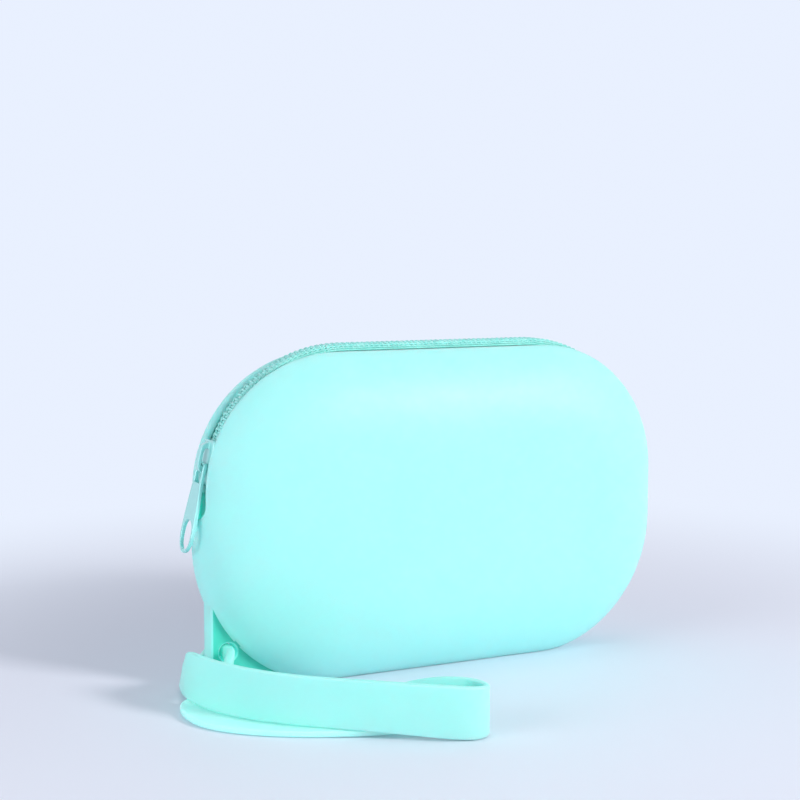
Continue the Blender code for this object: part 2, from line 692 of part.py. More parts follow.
def wrist_strap(look):
    """One closed band: bunched where it passes the hole, folded back on itself in front of the pouch."""
    table = strap_stations()
    path = table[:, :3]
    ahead = np.roll(path, -1, 0) - np.roll(path, 1, 0)
    ahead /= np.linalg.norm(ahead, axis=1)[:, None]
    side = np.cross(ahead, (0.0, 0.0, 1.0))
    side /= np.linalg.norm(side, axis=1)[:, None]
    upright = np.cross(side, ahead)
    lean = np.radians(table[:, 3])[:, None]
    up = np.cos(lean) * upright + np.sin(lean) * side
    flat = np.cross(ahead, up)
    rings = []
    for centre, along_w, along_t, width, thick in zip(path, up, flat, table[:, 4], table[:, 5]):
        soft = 0.3 * thick
        a, b = width / 2, thick / 2
        loop = [
            (a - soft, b), (a, b - soft), (a, soft - b), (a - soft, -b),
            (soft - a, -b), (-a, soft - b), (-a, b - soft), (soft - a, b),
        ]
        rings.append([tuple(centre + along_w * w + along_t * t) for w, t in loop])
    origin = (HOLE_X, 0.0, HOLE_Z)
    return solid("wrist_strap", rings, look, smooth=True, closed_along=True, origin=origin)


def build():
    clear_scene()
    silicone_body(material("silicone", (0.45, 0.92, 0.9), 0.42))
    tape_look = material("zip tape", (0.4, 0.86, 0.83), 0.85)
    coil_look = material("zip coil", (0.36, 0.82, 0.8), 0.35)
    stop_look = material("zip stop", (0.42, 0.85, 0.83), 0.3)
    cast_look = material("painted casting", (0.4, 0.82, 0.8), 0.25, 0.0)
    zip_tape("zip_tape_front", -1, tape_look)
    zip_tape("zip_tape_rear", 1, tape_look)
    coil("coil_front", -1, 0.0, coil_look)
    coil("coil_rear", 1, TOOTH_PITCH / 2, coil_look)
    top_stop("top_stop_front", -1, stop_look)
    top_stop("top_stop_rear", 1, stop_look)
    bottom_stop(stop_look)
    slider_body(cast_look)
    pull_tab(cast_look)
    wrist_strap(material("strap silicone", (0.43, 0.9, 0.88), 0.45))


build()
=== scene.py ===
import math

import bpy
import numpy as np
from mathutils import Matrix, Vector


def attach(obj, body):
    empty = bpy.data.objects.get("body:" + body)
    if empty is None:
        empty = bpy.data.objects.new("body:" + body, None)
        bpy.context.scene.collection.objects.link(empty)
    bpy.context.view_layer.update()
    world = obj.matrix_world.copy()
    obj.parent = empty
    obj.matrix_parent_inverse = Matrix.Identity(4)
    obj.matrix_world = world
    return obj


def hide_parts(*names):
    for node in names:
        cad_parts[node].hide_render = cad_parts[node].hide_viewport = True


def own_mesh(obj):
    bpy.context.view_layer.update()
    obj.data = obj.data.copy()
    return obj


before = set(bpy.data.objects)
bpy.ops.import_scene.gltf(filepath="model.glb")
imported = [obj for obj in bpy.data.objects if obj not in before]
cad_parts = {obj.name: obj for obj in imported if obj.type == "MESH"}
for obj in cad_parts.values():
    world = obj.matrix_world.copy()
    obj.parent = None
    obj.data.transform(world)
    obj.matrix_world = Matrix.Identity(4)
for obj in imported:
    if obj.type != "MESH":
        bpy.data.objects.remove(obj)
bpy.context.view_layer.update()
mm = 0.001

# outline of the pouch seen from the front, in millimetres; the shell and the zip are worked out from it
outline = {
    "halfWidth": 70.0,
    "height": 90.2,
    "cornerRadius": 38.0,
    "halfDepth": 16.0,
    "edgeReach": 24.0,
    "wall": 2.3,
    "baseSink": 1.2,
}
cornerX = outline["halfWidth"] - outline["cornerRadius"]
cornerZ = outline["height"] - outline["cornerRadius"]

# zip chain: it runs on corners of its own, sunk at the sides and proud at the top
chain = {
    "sink": 3.3,
    "rise": 0.45,
    "cornerRadius": 38.3,
    "pitch": 1.5,
    "coilTop": 1.7,
    "coilBottom": 3.7,
    "coilHalf": 2.9,
    "reach": 1.15,
    "valley": 1.4,
    "tapeTop": 3.85,
    "tapeThick": 0.5,
    # along the chain: the slider at rest and its travel in degrees, the stops and the coils' ends
    "sliderAngle": 12.4,
    "sliderTravel": 69.0,
    "sliderHalf": 5.8,
    "stopGap": 0.3,
    "stopLong": 2.0,
    "bottomStart": 1.5,
    "endGap": 0.15,
}
chainX = outline["halfWidth"] - chain["sink"] - chain["cornerRadius"]
chainZ = outline["height"] + chain["rise"] - chain["cornerRadius"]
chainRadius = chain["cornerRadius"] - (chain["coilBottom"] - chain["coilTop"]) / 2
chainArc = chainRadius * math.pi / 2
chainLong = 2 * chainArc + 2 * chainX
# each path: corner centre, radius that insets start from, radius at which lengths are counted
chainPath = (chainX, chainZ, chain["cornerRadius"] + chain["coilTop"], chainRadius)
edgePath = (cornerX, cornerZ, outline["cornerRadius"], outline["cornerRadius"])


def report(text):
    print("[pouch]", text, flush=True)


# making meshes

def newMesh(name, points, faces):
    made = bpy.data.meshes.new(name)
    made.from_pydata([tuple(map(float, p)) for p in points], [], faces)
    made.validate()
    made.update()
    made.shade_smooth()
    return made


def newObject(name, mesh):
    made = bpy.data.objects.new(name, mesh)
    bpy.context.scene.collection.objects.link(made)
    return made


def tubeFaces(rings, around, closedAlong=False):
    faces = []
    for i in range(rings if closedAlong else rings - 1):
        here, there = i * around, (i + 1) % rings * around
        for j in range(around):
            k = (j + 1) % around
            faces.append((here + j, here + k, there + k, there + j))
    if not closedAlong:
        faces.append(tuple(reversed(range(around))))
        faces.append(tuple(range((rings - 1) * around, rings * around)))
    return faces


def turnedOut(points, faces):
    at = np.asarray(points, float)
    volume = 0.0
    for face in faces:
        for i in range(1, len(face) - 1):
            volume += np.dot(at[face[0]], np.cross(at[face[i]], at[face[i + 1]]))
    return faces if volume > 0 else [tuple(reversed(face)) for face in faces]


def loftObject(name, rings, closedAlong=False):
    rings = np.asarray(rings, float)
    points = rings.reshape(-1, 3)
    faces = turnedOut(points, tubeFaces(len(rings), rings.shape[1], closedAlong))
    return newObject(name, newMesh(name, points, faces))


def mirrored(half):
    return [(-across, other) for across, other in reversed(half)]


def joined(name, objects):
    first = objects[0]
    with bpy.context.temp_override(active_object=first, selected_editable_objects=list(objects)):
        bpy.ops.object.join()
    first.name = name
    return first


def cutBy(target, other, operation):
    step = target.modifiers.new(operation, "BOOLEAN")
    step.operation = operation
    step.solver = "EXACT"
    step.object = other
    return other


def bakeModifiers(obj, helpers=()):
    bpy.context.view_layer.update()
    graph = bpy.context.evaluated_depsgraph_get()
    made = bpy.data.meshes.new_from_object(obj.evaluated_get(graph))
    obj.modifiers.clear()
    obj.data = made
    for helper in helpers:
        bpy.data.objects.remove(helper, do_unlink=True)


def finishPiece(obj, look, sharpFrom=None, weighted=True, place=Matrix.Identity(4)):
    # from millimetres in the piece's own frame to metres in the part's, and then its look
    obj.data.transform(place)
    obj.data.transform(Matrix.Scale(mm, 4))
    obj.data.update()
    if sharpFrom:
        obj.data.shade_smooth()
        obj.data.set_sharp_from_angle(angle=math.radians(sharpFrom))
        if weighted:
            obj.modifiers.new("weighted", "WEIGHTED_NORMAL").keep_sharp = True
    obj.data.materials.clear()
    obj.data.materials.append(look)


def tubeAlong(name, path, radius, sides):
    # a round thread or filament along a path, with frames carried from point to point
    path = np.asarray(path, float)
    ahead = np.gradient(path, axis=0)
    ahead /= np.linalg.norm(ahead, axis=1)[:, None]
    turns = np.linspace(0, 2 * math.pi, sides, endpoint=False)
    rings, side = [], np.cross(ahead[0], (0.0, 0.0, 1.0))
    for point, direction in zip(path, ahead):
        side = side - direction * np.dot(side, direction)
        side /= np.linalg.norm(side)
        up = np.cross(direction, side)
        rings.append(point + radius * (np.cos(turns)[:, None] * side + np.sin(turns)[:, None] * up))
    return loftObject(name, rings)


# paths along the zip and the shell's edge

def pathAt(path, along):
    # point and outward direction; 0 is where the left corner starts to curve
    centreX, centreZ, reach, ruler = path
    arc = ruler * math.pi / 2
    end = 2 * arc + 2 * centreX
    if along > end / 2:
        (x, z), (outX, outZ) = pathAt(path, end - along)
        return (-x, z), (-outX, outZ)
    if along < 0:
        return (-centreX - reach, centreZ + along), (-1.0, 0.0)
    if along <= arc:
        angle = along / ruler
        out = (-math.cos(angle), math.sin(angle))
        return (-centreX + reach * out[0], centreZ + reach * out[1]), out
    return (-centreX + along - arc, centreZ + reach), (0.0, 1.0)


def pathPoint(path, along, y, inset):
    base, out = pathAt(path, along)
    return (base[0] - inset * out[0], y, base[1] - inset * out[1])


def chainPoint(along, y, inset):
    return pathPoint(chainPath, along, y, inset)


def edgeInset(x, z):
    return outline["cornerRadius"] - math.hypot(max(abs(x) - cornerX, 0.0), max(z - cornerZ, 0.0))


def chainInset(along, inset):
    # the zip's own inset where its normal meets the shell's layer of a given inset
    found = inset
    for _ in range(4):
        x, _, z = chainPoint(along, 0.0, found)
        found += inset - edgeInset(x, z)
    return found


def chainSteps(start, end, step):
    return list(np.linspace(start, end, max(2, int(round((end - start) / step)) + 1)))


def outerInset(y):
    return outline["edgeReach"] * (1 - math.sqrt(max(0.0, 1 - (y / outline["halfDepth"]) ** 2)))


def innerInset(y):
    reach, wall = outline["edgeReach"], outline["wall"]
    across = min(1.0, abs(y) / (outline["halfDepth"] - wall))
    return reach - (reach - wall) * math.sqrt(max(0.0, 1 - across ** 2))


# node helpers

def setInputs(node, values):
    # a socket is linked to the input, and anything else becomes the input's own value
    for title, value in values.items():
        if isinstance(value, bpy.types.NodeSocket):
            node.id_data.links.new(value, node.inputs[title])
        else:
            node.inputs[title].default_value = value


def placeNode(tree, kind, values=None, **settings):
    node = tree.nodes.new(kind)
    for key, value in settings.items():
        setattr(node, key, value)
    setInputs(node, values or {})
    return node


def newGroup(name, inputs, outputs, kind="NodeSocketFloat"):
    # the sockets of a group are all of one kind
    group = bpy.data.node_groups.new(name, "ShaderNodeTree")
    for title, value in inputs.items():
        socket = group.interface.new_socket(name=title, in_out="INPUT", socket_type=kind)
        socket.default_value = value
    for title in outputs:
        group.interface.new_socket(name=title, in_out="OUTPUT", socket_type=kind)
    return group, placeNode(group, "NodeGroupInput"), placeNode(group, "NodeGroupOutput")


def placeGroup(tree, group, **values):
    return placeNode(tree, "ShaderNodeGroup", values, node_tree=group)


def mathNode(tree, operation, first, second=None, clamp=False):
    values = {0: first} if second is None else {0: first, 1: second}
    return placeNode(tree, "ShaderNodeMath", values, operation=operation, use_clamp=clamp).outputs[0]


def rangeNode(tree, value, fromLow, fromHigh, toLow=0.0, toHigh=1.0, **settings):
    values = {"Value": value, "From Min": fromLow, "From Max": fromHigh, "To Min": toLow, "To Max": toHigh}
    return placeNode(tree, "ShaderNodeMapRange", values, **settings).outputs["Result"]


def mixColour(tree, factor, first, second):
    # this node's colours are its inputs 6 and 7 and its output 2
    values = {"Factor": factor}
    for place, value in ((6, first), (7, second)):
        values[place] = (*value, 1.0) if isinstance(value, tuple) else value
    return placeNode(tree, "ShaderNodeMix", values, data_type="RGBA").outputs[2]


def newLook(name):
    made = bpy.data.materials.new(name)
    made.use_nodes = True
    return made, made.node_tree, made.node_tree.nodes["Principled BSDF"]


# effects, each a node group that is made once

def makeMouldGrain():
    # fine frosted skin of a moulded surface, with a slow unevenness under it
    group, entry, leave = newGroup(
        "mouldGrain", {"GrainSize": 4000.0, "WaveSize": 45.0}, ("Height", "Tone", "Polish"))
    spot = placeNode(group, "ShaderNodeTexCoord").outputs["Object"]
    grain, wave, marks = [
        placeNode(group, "ShaderNodeTexNoise", {"Vector": spot, **values}).outputs[0] for values in (
            {"Scale": entry.outputs["GrainSize"], "Detail": 3.0, "Roughness": 0.62},
            {"Scale": entry.outputs["WaveSize"], "Detail": 2.0},
            {"Scale": 260.0, "Detail": 4.0, "Distortion": 1.2},
        )
    ]
    fine = mathNode(group, "MULTIPLY", grain, 0.35)
    setInputs(leave, {"Height": mathNode(group, "ADD", fine, wave), "Tone": wave, "Polish": marks})
    return group


def makeWeave():
    # plain weave laid out by the length and width that the piece carries in its "cloth" attribute
    group, entry, leave = newGroup("tapeWeave", {"Threads": 4.2, "Fuzz": 0.25}, ("Height", "Thread"))
    cloth = placeNode(group, "ShaderNodeAttribute", attribute_name="cloth")
    split = placeNode(group, "ShaderNodeSeparateXYZ", {0: cloth.outputs["Vector"]})
    waves = []
    for direction in ("X", "Y"):
        count = mathNode(group, "MULTIPLY", split.outputs[direction], entry.outputs["Threads"])
        waves.append(mathNode(group, "SINE", mathNode(group, "MULTIPLY", count, math.pi)))
    over = mathNode(group, "GREATER_THAN", mathNode(group, "MULTIPLY", *waves), 0.0)
    under = mathNode(group, "SUBTRACT", 1.0, over)
    warp = mathNode(group, "MULTIPLY", mathNode(group, "ABSOLUTE", waves[0]), over)
    weft = mathNode(group, "MULTIPLY", mathNode(group, "ABSOLUTE", waves[1]), under)
    threads = mathNode(group, "ADD", warp, weft)
    fuzz = placeNode(group, "ShaderNodeTexNoise", {"Scale": 9000.0, "Detail": 2.0})
    hairy = mathNode(group, "MULTIPLY", fuzz.outputs[0], entry.outputs["Fuzz"])
    setInputs(leave, {"Height": mathNode(group, "ADD", threads, hairy), "Thread": threads})
    return group


def makeRubMarks():
    # worn and polished places: strong on edges, broken up by scratches
    group, entry, leave = newGroup("rubMarks", {"Edge": 0.53, "Scratch": 900.0}, ("Wear", "Scuff"))
    shape = placeNode(group, "ShaderNodeNewGeometry")
    spot = placeNode(group, "ShaderNodeTexCoord").outputs["Object"]
    scratches = {"Vector": spot, "Scale": entry.outputs["Scratch"], "Detail": 6.0, "Roughness": 0.7}
    noise = placeNode(group, "ShaderNodeTexNoise", scratches)
    raised = mathNode(group, "SUBTRACT", shape.outputs["Pointiness"], entry.outputs["Edge"])
    sharp = mathNode(group, "MULTIPLY", raised, 14.0, clamp=True)
    broken = rangeNode(group, noise.outputs[0], 0.42, 0.62)
    setInputs(leave, {"Wear": mathNode(group, "MULTIPLY", sharp, broken), "Scuff": broken})
    return group


def makeCarriedLight():
    # light that translucent silicone carries into narrow recesses, where a piece marks them as "recess"
    tint = (0.01, 0.55, 0.44, 1.0)
    group, entry, leave = newGroup("carriedLight", {"Tint": tint}, ("Glow",), "NodeSocketColor")
    marked = placeNode(group, "ShaderNodeAttribute", attribute_name="recess")
    glow = mixColour(group, marked.outputs["Fac"], (0.0, 0.0, 0.0), entry.outputs["Tint"])
    setInputs(leave, {"Glow": glow})
    return group


mouldGrain = makeMouldGrain()
tapeWeave = makeWeave()
rubMarks = makeRubMarks()
carriedLight = makeCarriedLight()
report("shared effects ready")


# finishes

def bumpNode(tree, height, relief):
    # relief is the bump's strength and its distance in metres
    values = {"Height": height, "Strength": relief[0], "Distance": relief[1]}
    return placeNode(tree, "ShaderNodeBump", values).outputs[0]


def addCarriedLight(tree, shader, tint):
    carried = placeGroup(tree, carriedLight, Tint=(*tint, 1.0))
    setInputs(shader, {"Emission Color": carried.outputs["Glow"], "Emission Strength": 0.32})


def mouldedLook(name, tone):
    # silicone and nylon: a plain colour with a fine skin, lit from within
    made, tree, shader = newLook(name)
    grain = placeGroup(tree, mouldGrain, GrainSize=tone["grain"], WaveSize=tone["wave"])
    blend = rangeNode(tree, grain.outputs["Tone"], *tone["blend"])
    colour = mixColour(tree, blend, tone["colour"], tone["deeper"])
    # painted shade: where a piece sets its "thickness" mask, the colour turns to the deeper "thick" tone,
    # standing in for the shade that falls there
    if "thick" in tone:
        thick = placeNode(tree, "ShaderNodeAttribute", attribute_name="thickness")
        colour = mixColour(tree, thick.outputs["Fac"], colour, tone["thick"])
    if "carried" in tone:
        addCarriedLight(tree, shader, tone["carried"])
    smooth, dull = (tone["rough"] + change for change in tone["polish"])
    setInputs(shader, {
        "Base Color": colour,
        "Roughness": rangeNode(tree, grain.outputs["Polish"], 0.35, 0.65, smooth, dull),
        "Normal": bumpNode(tree, grain.outputs["Height"], tone["bump"]),
        "IOR": tone["bend"], "Subsurface Weight": tone["glow"], "Subsurface Radius": tone["spread"],
        "Subsurface Scale": tone["depth"], "Sheen Weight": tone["sheen"], "Sheen Roughness": 0.45,
        "Sheen Tint": (0.8, 1.0, 1.0, 1.0),
    })
    return made


silicone = {"grain": 3200.0, "blend": (0.3, 0.7), "polish": (-0.05, 0.05), "bend": 1.41,
            "spread": (0.35, 1.0, 0.95), "depth": 0.0045, "sheen": 0.08}
nylon = {"grain": 7000.0, "wave": 320.0, "blend": (0.35, 0.65), "polish": (-0.06, 0.08), "bend": 1.53,
         "bump": (0.15, 0.00002), "glow": 0.5, "spread": (0.4, 1.0, 0.95), "depth": 0.001, "sheen": 0.0}
# the body's "thick" tone is painted shade for the fin's flat sides, and its "carried" tone is a painted glow
# in its recesses
bodySilicone = {**silicone, "colour": (0.395, 0.93, 0.875), "deeper": (0.38, 0.915, 0.86), "wave": 38.0,
                "thick": (0.05, 0.62, 0.50), "carried": (0.01, 0.55, 0.44), "rough": 0.5,
                "bump": (0.35, 0.00005), "glow": 0.9}
strapSilicone = {**silicone, "colour": (0.39, 0.86, 0.79), "deeper": (0.37, 0.845, 0.77), "wave": 60.0,
                 "carried": (0.3, 0.62, 0.6), "rough": 0.48, "bump": (0.4, 0.00005), "glow": 0.8}
coilNylon = {**nylon, "colour": (0.36, 0.88, 0.83), "deeper": (0.32, 0.83, 0.78), "rough": 0.34}
threadPolyester = {**nylon, "colour": (0.33, 0.84, 0.77), "deeper": (0.24, 0.72, 0.66), "rough": 0.55}


def tapeLook(name, tone):
    made, tree, shader = newLook(name)
    weave = placeGroup(tree, tapeWeave, Threads=tone["threads"], Fuzz=0.3)
    blend = rangeNode(tree, weave.outputs["Thread"], 0.15, 0.95)
    setInputs(shader, {
        "Base Color": mixColour(tree, blend, tone["gap"], tone["colour"]),
        "Roughness": rangeNode(tree, weave.outputs["Height"], 0.0, 1.2, 0.95, 0.78),
        "Normal": bumpNode(tree, weave.outputs["Height"], tone["bump"]),
        "Sheen Weight": 0.35, "Sheen Roughness": 0.5, "Subsurface Weight": 0.6,
        "Subsurface Radius": (0.3, 1.0, 0.9), "Subsurface Scale": 0.003,
    })
    addCarriedLight(tree, shader, tone["carried"])
    return made


tapeCloth = {"colour": (0.40, 0.92, 0.87), "gap": (0.22, 0.74, 0.68), "carried": (0.01, 0.55, 0.44),
             "threads": 4.5, "bump": (0.9, 0.00012)}


def castLook(name, tone):
    made, tree, shader = newLook(name)
    wear = placeGroup(tree, rubMarks, Edge=tone["edge"], Scratch=1100.0)
    worn = mathNode(tree, "MULTIPLY", wear.outputs["Wear"], tone["worn"])
    grain = placeGroup(tree, mouldGrain, GrainSize=1200.0, WaveSize=300.0)
    setInputs(shader, {
        "Base Color": mixColour(tree, worn, tone["colour"], tone["bare"]),
        "Roughness": rangeNode(tree, wear.outputs["Scuff"], 0.0, 1.0, tone["rough"], tone["rough"] + 0.04),
        "Metallic": mathNode(tree, "ADD", mathNode(tree, "MULTIPLY", worn, 0.7), tone["metal"]),
        "Normal": bumpNode(tree, grain.outputs["Height"], (0.08, 0.00002)),
        "Coat Weight": 0.6, "Coat Roughness": 0.12,
    })
    return made


paint = {"bare": (0.55, 0.85, 0.84), "edge": 0.57}
castPaint = {**paint, "colour": (0.31, 0.76, 0.74), "rough": 0.22, "worn": 0.04, "metal": 0.2}
stopPaint = {**paint, "colour": (0.33, 0.82, 0.78), "rough": 0.3, "worn": 0.1, "metal": 0.15}

bodyLook = mouldedLook("body silicone", bodySilicone)
strapLook = mouldedLook("strap silicone", strapSilicone)
coilLook = mouldedLook("coil nylon", coilNylon)
threadLook = mouldedLook("sewing thread", threadPolyester)
tapeFinish = tapeLook("woven tape", tapeCloth)
castFinish = castLook("painted casting", castPaint)
stopFinish = castLook("painted stop", stopPaint)
report("finishes ready")


# silicone shell

shell = {
    "cornerSteps": 44,
    "sideSteps": 6,
    "acrossSteps": 30,
    "insideSteps": 12,
    "slotHalf": 4.1,
    "lip": 1.3,
    "slotDrop": 6.5,
    # the mouth's cutter: how deep and high it reaches, and how its rim runs on past the lip
    "cutDeep": 8.0,
    "cutHigh": 4.0,
    "rimShort": 16.0,
    "rimLong": 1.6,
    "finThick": 6.5,
    "finOut": 66.6,
    "finLift": 0.2,
    "finCorner": 3.6,
    "finRound": 0.8,
    # the fin's end in radians before the corner's foot; its flat sides' end; the slot's marked ends
    "finEnd": 0.16,
    "finFrom": -40.0,
    "finTop": 26.0,
    "endHigh": 4.5,
    "endFrom": 0.9,
    "endUnder": 2.0,
    "holeX": -62.0,
    "holeZ": 10.3,
    "holeWide": 4.8,
}


def outlinePoints(steps):
    radius, sideSteps = outline["cornerRadius"], shell["sideSteps"]
    centres = ((-cornerX, radius), (-cornerX, cornerZ), (cornerX, cornerZ), (cornerX, radius))
    found = []
    for index, (x, z) in enumerate(centres):
        for step in range(steps + 1):
            angle = math.radians(270 - 90 * (index + step / steps))
            found.append((x, z, math.cos(angle), math.sin(angle)))
        afterX, afterZ = centres[(index + 1) % 4]
        for share in (step / sideSteps for step in range(1, sideSteps)):
            found.append((x + (afterX - x) * share, z + (afterZ - z) * share, *found[-1][2:]))
    return found


def shellRing(stations, y, inset, sinks):
    radius = outline["cornerRadius"]
    ring = []
    for cx, cz, nx, nz in stations:
        x, z = cx + (radius - inset) * nx, cz + (radius - inset) * nz
        if sinks and z < radius:
            z = max(z - outline["baseSink"] * (1 - z / radius) ** 2, 0.0)
        ring.append((x, y, z))
    return ring


def makeShellSkin():
    depth, reach = outline["halfDepth"], outline["edgeReach"]
    points, faces = [], []
    for wall, cornerSteps, steps, inside in (
        (0.0, shell["cornerSteps"], shell["acrossSteps"], False),
        (outline["wall"], shell["cornerSteps"] // 2, shell["insideSteps"], True),
    ):
        stations = outlinePoints(cornerSteps)
        skin = []
        for step in range(-steps, steps + 1):
            angle = math.pi / 2 * step / steps
            y, inset = (depth - wall) * math.sin(angle), reach - (reach - wall) * math.cos(angle)
            skin += shellRing(stations, y, inset, not inside)
        start = len(points)
        for face in turnedOut(skin, tubeFaces(2 * steps + 1, len(stations))):
            faces.append(tuple(start + i for i in (reversed(face) if inside else face)))
        points += skin
    return newObject("silicone_shell", newMesh("silicone_shell", points, faces))


def rimSide(wall, lip):
    # one side of the mouth: a straight wall that rolls over into the shell's own curve
    centre = wall + lip
    slope = 0.5
    for _ in range(4):
        across = centre + lip * math.sin(slope)
        part = across / outline["halfDepth"]
        slope = math.atan(outline["edgeReach"] * part / outline["halfDepth"] / math.sqrt(1 - part ** 2))
    depth = outerInset(across) + lip * math.cos(slope)
    last = math.pi / 2 + slope - math.radians(shell["rimShort"])
    side = [(wall, shell["cutDeep"])]
    for turn in np.linspace(0, last, 10):
        side.append((centre - lip * math.cos(turn), depth - lip * math.sin(turn)))
    across, deep = side[-1]
    across, deep = across + shell["rimLong"] * math.sin(last), deep - shell["rimLong"] * math.cos(last)
    return side + [(across, deep), (across, -shell["cutHigh"])]


def makeMouthCutter():
    half, lip = shell["slotHalf"], shell["lip"]
    low, high = -shell["slotDrop"], math.pi * outline["cornerRadius"] + 2 * cornerX + shell["slotDrop"]
    ends = [half * (1 - math.cos(math.radians(a))) for a in (0, 8, 18, 30, 44, 58, 74, 90)]
    stations = [low + e for e in ends]
    stations += chainSteps(low + half + 0.8, high - half - 0.8, 0.9)
    stations += [high - e for e in reversed(ends)]
    rings = []
    for along in stations:
        left = max(0.0, min(along - low, high - along)) / half
        share = 0.06 if left < 0.005 else math.sqrt(1 - (1 - min(left, 1.0)) ** 2)
        side = rimSide(half * share, lip)
        rings.append([pathPoint(edgePath, along, y, inset) for y, inset in side + mirrored(side)])
    return loftObject("mouth_cutter", rings)


def roundLevels(half, back, steps=5):
    # heights and set-backs of a plate's rounded edge, from one face to the other
    turns = np.linspace(0, math.pi / 2, steps + 1)
    low = [(-half + back * (1 - math.cos(turn)), back * (1 - math.sin(turn))) for turn in turns]
    return low + [(-y, b) for y, b in reversed(low)]


def makeFin():
    reach = outline["cornerRadius"] - outline["wall"] * 0.55
    rings = []
    for y, back in roundLevels(shell["finThick"] / 2, shell["finRound"]):
        edge, floor = -shell["finOut"] + back, shell["finLift"] + back
        turnR = shell["finCorner"] - back
        turnX, turnZ = -shell["finOut"] + shell["finCorner"], shell["finLift"] + shell["finCorner"]
        start = math.acos((-cornerX - edge) / reach)
        ring = []
        for turn in np.linspace(start, math.pi / 2 - shell["finEnd"], 17):
            x, z = -cornerX - reach * math.cos(turn), outline["cornerRadius"] - reach * math.sin(turn)
            ring.append((x, y, z))
        ring.append((ring[-1][0], y, floor))
        for turn in np.linspace(0, math.pi / 2, 11):
            ring.append((turnX - turnR * math.sin(turn), y, turnZ - turnR * math.cos(turn)))
        rings.append(ring)
    return loftObject("fin", rings)


def makeHoleCutter():
    half, back = shell["finThick"] / 2, shell["finRound"]
    levels = [(-half - 1.0, back + 1.0)] + roundLevels(half, back) + [(half + 1.0, back + 1.0)]
    turns = np.linspace(0, 2 * math.pi, 40, endpoint=False)
    rings = []
    for y, wider in levels:
        radius = shell["holeWide"] / 2 + wider
        rings.append([(shell["holeX"] + radius * math.cos(turn), y, shell["holeZ"] + radius * math.sin(turn))
                      for turn in turns])
    return loftObject("hole_cutter", rings)


def setMask(obj, name, values):
    mark = obj.data.attributes.new(name, "FLOAT", "POINT")
    mark.data.foreach_set("value", np.asarray(values, np.float32))


def markShell(obj):
    # the fin's flat sides are marked for painted shade: a deeper colour that stands in for the shadow the
    # body's bulge casts on them
    count, near = len(obj.data.vertices), 0.05
    at = np.empty(count * 3)
    obj.data.vertices.foreach_get("co", at)
    x, y, z = at.reshape(count, 3).T
    fromMiddle, finHalf = np.abs(y), shell["finThick"] / 2
    shadedFinSide = (np.abs(fromMiddle - finHalf) < near) & (x < shell["finFrom"]) & (z < shell["finTop"])
    setMask(obj, "thickness", np.where(shadedFinSide, 0.9, 0.0))
    # the hole's wall and the slot's lower ends are marked "recess" for a painted glow, light painted into
    # pockets that would otherwise stay dark
    inHole = np.hypot(x - shell["holeX"], z - shell["holeZ"]) < shell["holeWide"] / 2 + 0.3
    inHole &= fromMiddle < finHalf - 0.3
    depth = np.array([edgeInset(*place) for place in zip(x, z)])
    inSlot = (depth > shell["endFrom"]) & (depth < outline["wall"] + shell["endUnder"])
    inSlot &= (fromMiddle < shell["slotHalf"] + near) & (np.abs(x) > cornerX)
    inSlot &= np.abs(z - cornerZ + shell["slotDrop"] / 2) < shell["endHigh"]
    setMask(obj, "recess", np.where(inHole | inSlot, 1.0, 0.0))


def makeShell():
    made = makeShellSkin()
    bakeModifiers(made, [
        cutBy(made, makeMouthCutter(), "DIFFERENCE"),
        cutBy(made, makeFin(), "UNION"),
        cutBy(made, makeHoleCutter(), "DIFFERENCE"),
    ])
    markShell(made)
    finishPiece(made, bodyLook, 38.0)
    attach(made, "pouch")
    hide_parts("silicone_body")


makeShell()
report("silicone shell made")


# zip tapes

tape = {"edge": 1.4, "bond": 9.3, "seat": 0.25, "endDrop": 8.0, "clear": 0.15, "bendAt": 3.35,
        "flatTo": 2.4, "bondFrom": 5.4, "shutEdge": 0.06, "shutOver": 2.0, "riseTo": 1.4,
        "riseOver": 5.5, "stopsEnd": 5.2}


def thickened(line, thickness):
    # the line, then the same line moved inwards, as one loop
    points = np.asarray(line, float)
    ahead = np.diff(points, axis=0)
    ahead /= np.linalg.norm(ahead, axis=1)[:, None]
    normal = np.column_stack([-ahead[:, 1], ahead[:, 0]])
    before = np.vstack([normal[:1], normal])
    after = np.vstack([normal, normal[-1:]])
    moved = (before + after) / (1 + np.sum(before * after, axis=1))[:, None]
    return np.vstack([points, (points + thickness * moved)[::-1]])


def beyondStops(along):
    return max(0.0, -along, along - chainLong - tape["stopsEnd"])


def tapeEnd(along):
    # the tape's inner edge and height: beyond the stops the two meet and rise to the shell
    shut = min(1.0, beyondStops(along) / tape["shutOver"])
    rise = min(1.0, beyondStops(along) / tape["riseOver"])
    edge = tape["edge"] + (tape["shutEdge"] - tape["edge"]) * shut
    return edge, chain["tapeTop"] + (tape["riseTo"] - chain["tapeTop"]) * rise


def tapeLine(along):
    # flat under the coil, round the lower edge of the mouth's wall, then along the inside of the shell
    wall = shell["slotHalf"]
    edge, top = tapeEnd(along)
    over = top - chainInset(along, innerInset(wall))
    free = min(1.0, max(0.0, (over - 0.1) / 2))
    dive = wall - tape["clear"]
    bend = tape["bendAt"] + (dive - tape["bendAt"]) * 0.9 * free
    turn, foot = dive + 0.3 * free, dive + 0.65 * free
    seat = chainInset(along, innerInset(foot) + tape["seat"])
    line = [(edge, top), (tape["flatTo"], top), (bend, top)]
    line += [(turn, top + (seat - top) * (0.32 + 0.18 * free)), (foot, seat)]
    for y in np.linspace(tape["bondFrom"], tape["bond"], 7):
        line.append((float(y), chainInset(along, innerInset(y) + tape["seat"])))
    return line


